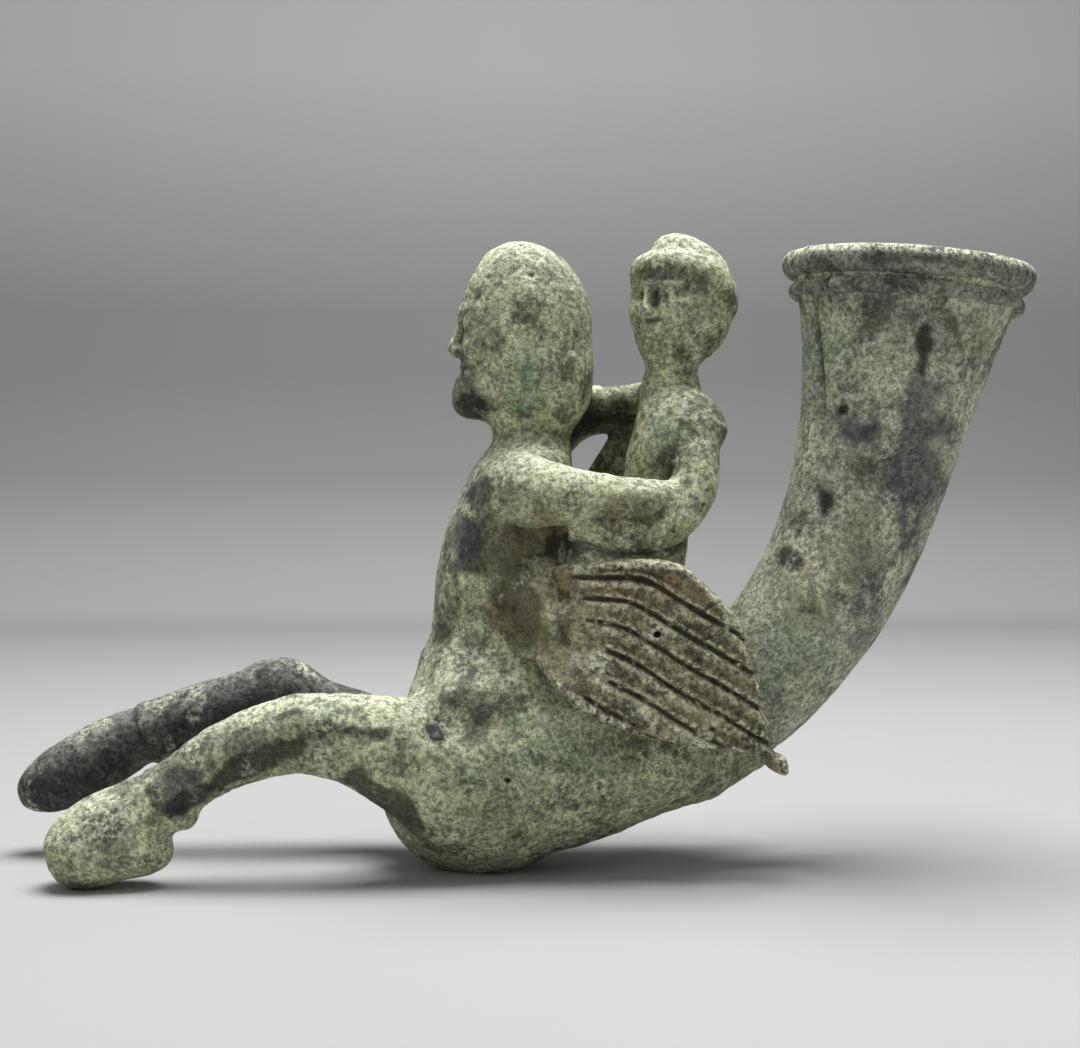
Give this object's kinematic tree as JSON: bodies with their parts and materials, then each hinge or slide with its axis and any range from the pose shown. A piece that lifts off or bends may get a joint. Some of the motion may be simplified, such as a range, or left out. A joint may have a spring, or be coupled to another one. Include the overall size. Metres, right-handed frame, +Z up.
{
  "type": "rhyton drinking cup",
  "caption": "Bronze drinking horn with a beaded mouth that curves into the forepart of a winged, human-headed horse with a rider, poured from a spout in the breast.",
  "frame": {"origin": "centre of the bounding box on the floor that the keel and the left hoof stand on", "axes": "+X towards the horn, away from the way the figure faces; -Y the figure's left side; +Z up"},
  "size_m": [0.3036, 0.0742, 0.1845],
  "materials": {
    "horn_patina": "matt green patina",
    "rim_patina": "worn patina",
    "figure_patina": "matt green patina",
    "wing_patina": "brown patina with worn crests",
    "dark_patina": "matt dark patina"
  },
  "bodies": {
    "root": {"horn": "horn_patina", "rim_bead": "rim_patina", "collar_hoop": "rim_patina", "body_shell": "figure_patina", "pour_spout": "dark_patina", "core_pins": "dark_patina", "torso": "figure_patina", "head": "figure_patina", "left_arm": "figure_patina", "right_arm": "figure_patina", "rider_body": "figure_patina", "rider_head": "figure_patina", "rider_left_arm": "figure_patina", "rider_right_arm": "figure_patina", "left_foreleg": "figure_patina", "left_hoof": "figure_patina", "right_foreleg": "dark_patina", "right_hoof": "dark_patina", "left_leg_pin": "dark_patina", "right_leg_pin": "dark_patina", "left_wing": "wing_patina", "right_wing": "wing_patina", "left_wing_pegs": "wing_patina", "right_wing_pegs": "wing_patina"}
  },
  "joints": []
}
